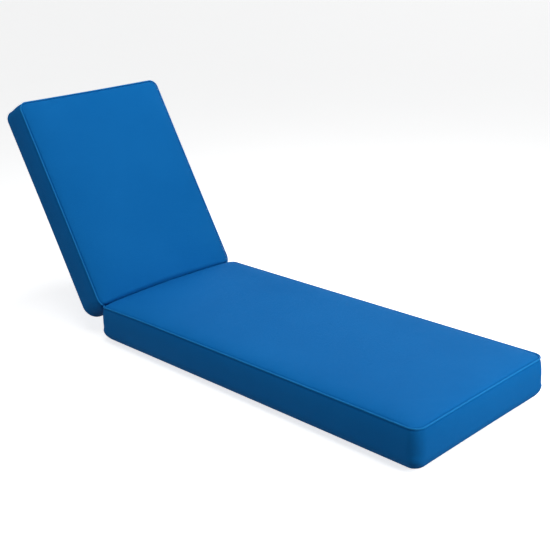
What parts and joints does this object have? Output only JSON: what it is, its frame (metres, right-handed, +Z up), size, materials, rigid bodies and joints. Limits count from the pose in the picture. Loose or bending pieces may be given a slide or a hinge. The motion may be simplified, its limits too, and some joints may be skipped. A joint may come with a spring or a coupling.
{
  "type": "sun lounger cushion",
  "caption": "Hinged box cushion for a sun lounger: a long flat seat section and a shorter back section raised at the crease, with piping round each top seam.",
  "frame": {"origin": "on the ground, under the middle of the cushion's whole length and width", "axes": "+X across the width, +Y from the foot end to the head end, +Z up"},
  "size_m": [0.573, 1.7242, 0.7409],
  "materials": {
    "cloth": "matt plain-woven outdoor cloth",
    "piping": "the same cloth, wrapped round a cord"
  },
  "bodies": {
    "root": {"seat_cushion": "cloth", "back_cushion": "cloth", "seat_piping": "piping", "back_piping": "piping"}
  },
  "joints": []
}
